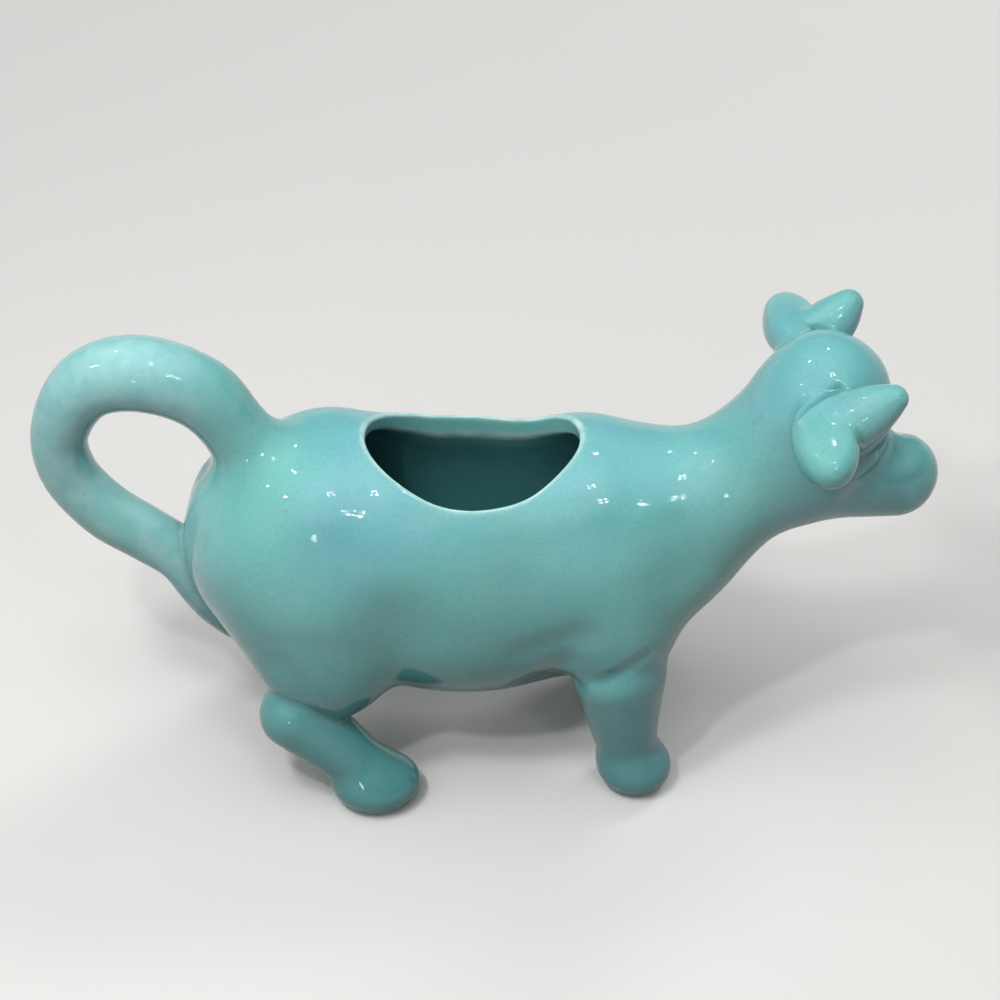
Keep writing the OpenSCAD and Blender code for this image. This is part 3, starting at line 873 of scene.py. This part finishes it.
class Nodes:
    """Short calls that make the nodes of an owner, a material or the world. The textures lie
    in the coordinates named by place."""

    def __init__(self, owner, shader, place):
        owner.use_nodes = True
        self.tree = owner.node_tree
        self.shader = self.tree.nodes[shader]
        self.place = self.tree.nodes.new("ShaderNodeTexCoord").outputs[place]

    def plug(self, socket, value):
        """Sets a socket to a number or colour, or links it to what another node gives."""
        if isinstance(value, bpy.types.NodeSocket):
            self.tree.links.new(value, socket)
        else:
            socket.default_value = value

    def noise(self, scale, detail=2.0, rough=0.5):
        node = self.tree.nodes.new("ShaderNodeTexNoise")
        self.plug(node.inputs["Vector"], self.place)
        node.inputs["Scale"].default_value = scale
        node.inputs["Detail"].default_value = detail
        node.inputs["Roughness"].default_value = rough
        return node.outputs["Fac"]

    def cells(self, scale):
        """Distance from the middle of a cell, and a number that differs from cell to cell."""
        node = self.tree.nodes.new("ShaderNodeTexVoronoi")
        self.plug(node.inputs["Vector"], self.place)
        node.inputs["Scale"].default_value = scale
        return node.outputs["Distance"], node.outputs["Color"]

    def mark(self, name):
        """What glaze_marks stored at the points."""
        node = self.tree.nodes.new("ShaderNodeAttribute")
        node.attribute_name = name
        return node.outputs["Fac"]

    def spread(self, value, low, high, to_low=0.0, to_high=1.0):
        """Eases from one number at low to another at high."""
        node = self.tree.nodes.new("ShaderNodeMapRange")
        node.interpolation_type = "SMOOTHSTEP"
        self.plug(node.inputs["Value"], value)
        for key, number in (("From Min", low), ("From Max", high),
                            ("To Min", to_low), ("To Max", to_high)):
            node.inputs[key].default_value = number
        return node.outputs["Result"]

    def measure(self, operation, vector, other=(0, 0, 0)):
        """A length, or how far a vector goes along another."""
        node = self.tree.nodes.new("ShaderNodeVectorMath")
        node.operation = operation
        self.plug(node.inputs[0], vector)
        node.inputs[1].default_value = other
        return node.outputs["Value"]

    def height(self):
        node = self.tree.nodes.new("ShaderNodeSeparateXYZ")
        self.plug(node.inputs[0], self.place)
        return node.outputs["Z"]

    def seen(self):
        """1 for what is seen, straight, in a reflection or through glass, 0 for light thrown."""
        path = self.tree.nodes.new("ShaderNodeLightPath").outputs
        straight_or_glossy = self.math("MAXIMUM", path["Is Camera Ray"], path["Is Glossy Ray"])
        return self.math("MAXIMUM", straight_or_glossy, path["Is Transmission Ray"])

    def math(self, operation, a, b):
        """What an operation makes of two numbers."""
        node = self.tree.nodes.new("ShaderNodeMath")
        node.operation = operation
        self.plug(node.inputs[0], a)
        self.plug(node.inputs[1], b)
        return node.outputs["Value"]

    def between(self, share, a, b):
        """A number between two, at 0 the first."""
        node = self.tree.nodes.new("ShaderNodeMix")
        self.plug(node.inputs[0], share)
        self.plug(node.inputs[2], a)
        self.plug(node.inputs[3], b)
        return node.outputs[0]

    def mix(self, share, a, b):
        """A colour between two, at 0 the first."""
        node = self.tree.nodes.new("ShaderNodeMix")
        node.data_type = "RGBA"
        self.plug(node.inputs["Factor"], share)
        self.plug(node.inputs[6], a)
        self.plug(node.inputs[7], b)
        return node.outputs[2]

    def bump(self, height, strength, distance, under=None):
        node = self.tree.nodes.new("ShaderNodeBump")
        self.plug(node.inputs["Height"], height)
        node.inputs["Strength"].default_value = strength
        node.inputs["Distance"].default_value = distance
        if under is not None:
            self.plug(node.inputs["Normal"], under)
        return node.outputs["Normal"]


# Colours of the glaze
GREEN_TURQUOISE = (0.150, 0.455, 0.430, 1)
BLUE_TURQUOISE = (0.155, 0.440, 0.470, 1)
DEEP_TURQUOISE = (0.030, 0.150, 0.160, 1)
PALE_TURQUOISE = (0.480, 0.720, 0.690, 1)
SPECK = (0.040, 0.130, 0.130, 1)
BARE_CLAY = (0.62, 0.53, 0.42, 1)
# Patterns in the glaze: scale, detail and roughness of a noise, the stretch of it that
# shows, and how strongly
HUES = 26, 3
HUES_SHOW = 0.38, 0.62
CLOUDS = 70, 4, 0.6
CLOUDS_SHOW = 0.35, 0.72
CLOUDS_SHARE = 0.10
GRAIN = 1300, 2
GRAIN_SHOW = 0.35, 0.7
GRAIN_SHARE = 0.10
CLAY_GRAIN = 500, 3
# Where the glaze runs thinner, and where light is painted on the tail, the paling is uneven, by no
# less than UNEVEN_LEAST
UNEVEN = 240, 3
UNEVEN_SHOW = 0.3, 0.7
UNEVEN_LEAST = 0.45
# How much darker the glaze gets where it pools, and where shade is painted inside the cavity and
# towards the bottom
DEEPER_AND_SHADE = {"pool": 0.55, "inside": 0.8, "low": 0.62}
# Specks: the scale of the cells that may hold one, its edge as a share of the cell, which of
# the cells' numbers are picked, and how strongly a speck shows
SPECK_CELLS = 420
SPECK_EDGE = 0.06, 0.14
SPECK_PICK = 0.8, 0.84
SPECK_SHARE = 0.3
# Roughness of the glaze, which a noise spreads between two values, and of bare clay
GLOSS = 90, 3
GLOSS_SHOW = 0.3, 0.7
GLAZE_ROUGH = 0.05, 0.10
CLAY_ROUGH = 0.8
GLAZE_IOR = 1.5
# Ripples and pores of the surface, with the strength and height of each as a bump
RIPPLES = 120, 1
RIPPLE_BUMP = 0.3, 0.0001
PORES = 1100, 2
PORE_BUMP = 0.25, 0.00004


def glaze_material():
    """Glossy turquoise glaze: cloudy, deeper where it pools, pale where it runs thinner over an
    edge, with fine specks.
    Painted shade darkens it inside the cavity and towards the bottom, and painted light makes the
    tail paler. The soles are bare clay."""
    material = bpy.data.materials.new("turquoise_glaze")
    make = Nodes(material, "Principled BSDF", "Object")
    hue = make.spread(make.noise(*HUES), *HUES_SHOW)
    colour = make.mix(hue, GREEN_TURQUOISE, BLUE_TURQUOISE)
    cloud = make.spread(make.noise(*CLOUDS), *CLOUDS_SHOW, 0, CLOUDS_SHARE)
    colour = make.mix(cloud, colour, PALE_TURQUOISE)
    grain = make.spread(make.noise(*GRAIN), *GRAIN_SHOW, 0, GRAIN_SHARE)
    colour = make.mix(grain, colour, DEEP_TURQUOISE)
    # Darker where the glaze pools, and painted shade inside the cavity and towards the bottom
    for mark, share in DEEPER_AND_SHADE.items():
        colour = make.mix(make.math("MULTIPLY", make.mark(mark), share), colour, DEEP_TURQUOISE)
    # Paler where the glaze runs thinner over edges and rims, and painted light on the tail
    uneven = make.spread(make.noise(*UNEVEN), *UNEVEN_SHOW, UNEVEN_LEAST, 1)
    colour = make.mix(make.math("MULTIPLY", make.mark("thin_and_lit"), uneven), colour, PALE_TURQUOISE)
    off, number = make.cells(SPECK_CELLS)
    picked = make.spread(number, *SPECK_PICK)
    speck = make.math("MULTIPLY", make.spread(off, *SPECK_EDGE, 1, 0), picked)
    colour = make.mix(make.math("MULTIPLY", speck, SPECK_SHARE), colour, SPECK)
    dry = make.mark("dry")
    colour = make.mix(dry, colour, make.mix(make.noise(*CLAY_GRAIN), BARE_CLAY, PALE_TURQUOISE))
    make.plug(make.shader.inputs["Base Color"], colour)
    rough = make.spread(make.noise(*GLOSS), *GLOSS_SHOW, *GLAZE_ROUGH)
    rough = make.math("MAXIMUM", rough, make.math("MULTIPLY", dry, CLAY_ROUGH))
    make.plug(make.shader.inputs["Roughness"], rough)
    make.shader.inputs["IOR"].default_value = GLAZE_IOR
    ripple = make.bump(make.noise(*RIPPLES), *RIPPLE_BUMP)
    make.plug(make.shader.inputs["Normal"], make.bump(make.noise(*PORES), *PORE_BUMP, ripple))
    return material


# Floor, light and camera

FLOOR_REACH = 6.0
# Away from the cow the floor glows faintly where it is seen, until it meets the pale wall
FLOOR_FADE = 0.15, 1.6
FLOOR_GLOW = 0.32
FLOOR_GLOW_COLOUR = (1, 0.99, 0.97, 1)
FLOOR_ROUGH = 0.85
# The floor and the room look pale, and throw back less light than they seem to
FLOOR_COLOUR = (0.70, 0.695, 0.68, 1)
FLOOR_THROWS = (0.11, 0.105, 0.10, 1)
# The room: a pale wall that darkens from a height just over the floor up to WALL_TOP, where
# heights are sines of the angle looked up at. Overhead, toward an azimuth and an elevation,
# is a broad bright part that fades out at its edge, where the edge is the cosine of its angle.
# The rest of the room throws as little light on the cow as its dim top
WALL_FOOT, WALL_TOP = 0.05, 0.38
WALL_PALE = 0.72
ROOM_DIM, ROOM_BRIGHT = 0.08, 1.2
ROOM_TOWARD = (-40, 64)
ROOM_EDGE = 0.45
# The camera: what it looks at and from how far, in metres, how high up, and its lens
VIEW_TARGET = (0.00275, 0, 0.0654)
VIEW_ELEVATION = 38
VIEW_DISTANCE = 0.430
VIEW_LENS = 72.76

# Lamps: (azimuth, elevation, distance, diameter, light on a surface that faces it, bulbs),
# where azimuth 0 is the camera's side and 90 is beyond the head, and a light of 1 shows a
# colour as it is written
LAMPS = {
    "key": (-46, 60, 0.42, 0.06, 0.28, 1),
    "key_front": (-28, 54, 0.43, 0.025, 0.20, 1),
    "key_overhead": (-60, 78, 0.50, 0.20, 0.09, 1),
    "fill": (134, 44, 1.2, 0.40, 0.26, 1),
    "lamp_low": (-13, 13, 2.5, 0.22, 0.02, 1),
    "lamp_high": (24, 44, 2.5, 0.09, 0.05, 4),
    "lamp_overhead": (16, 71, 2.5, 0.09, 0.05, 4),
    "lamp_behind": (172, 58, 2.5, 0.10, 0.014, 1),
    "lamp_left": (-69, 44, 2.5, 0.10, 0.014, 1),
    "lamp_far_left": (-120, 60, 2.5, 0.10, 0.014, 1),
}
UNSEEN_IN_GLAZE = ["key", "key_front", "key_overhead", "fill"]
# Distance between the bulbs of a lamp, in degrees
BULB_STEP = 4.5


def toward(azimuth, elevation):
    """The way from the creamer out, as a unit vector."""
    a, e = math.radians(azimuth), math.radians(elevation)
    return Vector((math.sin(a) * math.cos(e), -math.cos(a) * math.cos(e), math.sin(e)))


def aim(thing, target, azimuth, elevation, distance):
    """Puts a lamp or a camera where it faces a target, and adds it to the scene."""
    way = toward(azimuth, elevation)
    thing.location = Vector(target) + way * distance
    thing.rotation_mode = "QUATERNION"
    thing.rotation_quaternion = way.to_track_quat("Z", "Y")
    bpy.context.scene.collection.objects.link(thing)


def add_room():
    """The world round the stage, whose light depends on the direction looked in."""
    world = bpy.data.worlds.new("room")
    make = Nodes(world, "Background", "Generated")
    along = make.measure("DOT_PRODUCT", make.place, toward(*ROOM_TOWARD))
    bright = make.spread(along, ROOM_EDGE, 1)
    wall = make.spread(make.height(), WALL_FOOT, WALL_TOP, WALL_PALE, ROOM_DIM)
    around = make.between(make.seen(), ROOM_DIM, wall)
    make.plug(make.shader.inputs["Strength"], make.between(bright, around, ROOM_BRIGHT))
    make.shader.inputs["Color"].default_value = (1, 1, 1, 1)
    bpy.context.scene.world = world


def add_floor():
    """A sheet of pale paper that looks paler than the light it throws back."""
    r = FLOOR_REACH
    mesh = bpy.data.meshes.new("floor")
    mesh.from_pydata([(-r, -r, 0), (r, -r, 0), (r, r, 0), (-r, r, 0)], [], [(0, 1, 2, 3)])
    floor = bpy.data.objects.new("floor", mesh)
    bpy.context.scene.collection.objects.link(floor)
    material = bpy.data.materials.new("floor_paper")
    make = Nodes(material, "Principled BSDF", "Object")
    make.plug(make.shader.inputs["Base Color"], make.mix(make.seen(), FLOOR_THROWS, FLOOR_COLOUR))
    make.shader.inputs["Roughness"].default_value = FLOOR_ROUGH
    glow = make.spread(make.measure("LENGTH", make.place), *FLOOR_FADE, 0, FLOOR_GLOW)
    make.shader.inputs["Emission Color"].default_value = FLOOR_GLOW_COLOUR
    make.plug(make.shader.inputs["Emission Strength"], make.math("MULTIPLY", glow, make.seen()))
    mesh.materials.append(material)


def add_lamp(name, azimuth, elevation, distance, wide, light, bulbs):
    """A round lamp, or a square of four bulbs that share its light."""
    for number in range(bulbs):
        lamp = bpy.data.lights.new(name, "AREA")
        lamp.shape = "DISK"
        lamp.size = wide
        lamp.energy = light / bulbs * (math.pi * distance) ** 2
        bulb = bpy.data.objects.new(name, lamp)
        bulb.visible_glossy = name not in UNSEEN_IN_GLAZE
        aside = up = 0
        if bulbs > 1:
            aside, up = (number % 2 - 0.5) * BULB_STEP, (number // 2 - 0.5) * BULB_STEP
        aside /= math.cos(math.radians(elevation))
        aim(bulb, VIEW_TARGET, azimuth + aside, elevation + up, distance)


def add_camera():
    """The camera at the photo's angle."""
    camera = bpy.data.objects.new("camera", bpy.data.cameras.new("camera"))
    camera.data.lens = VIEW_LENS
    aim(camera, VIEW_TARGET, 0, VIEW_ELEVATION, VIEW_DISTANCE)
    bpy.context.scene.camera = camera
    bpy.context.scene.view_settings.view_transform = "Standard"


# The creamer in its glaze, on the stage

points, tris, names, on_seam = build_pieces()
_, normal = slope(clay, points)
normal /= np.linalg.norm(normal, axis=1, keepdims=True) + TINY
glaze = glaze_material()
marks = glaze_marks(points)
for node in sorted(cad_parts):
    piece = add_piece(node, points, normal, marks, tris[names == node], on_seam)
    piece.data.materials.append(glaze)

add_floor()
add_room()
for name, values in LAMPS.items():
    add_lamp(name, *values)
add_camera()
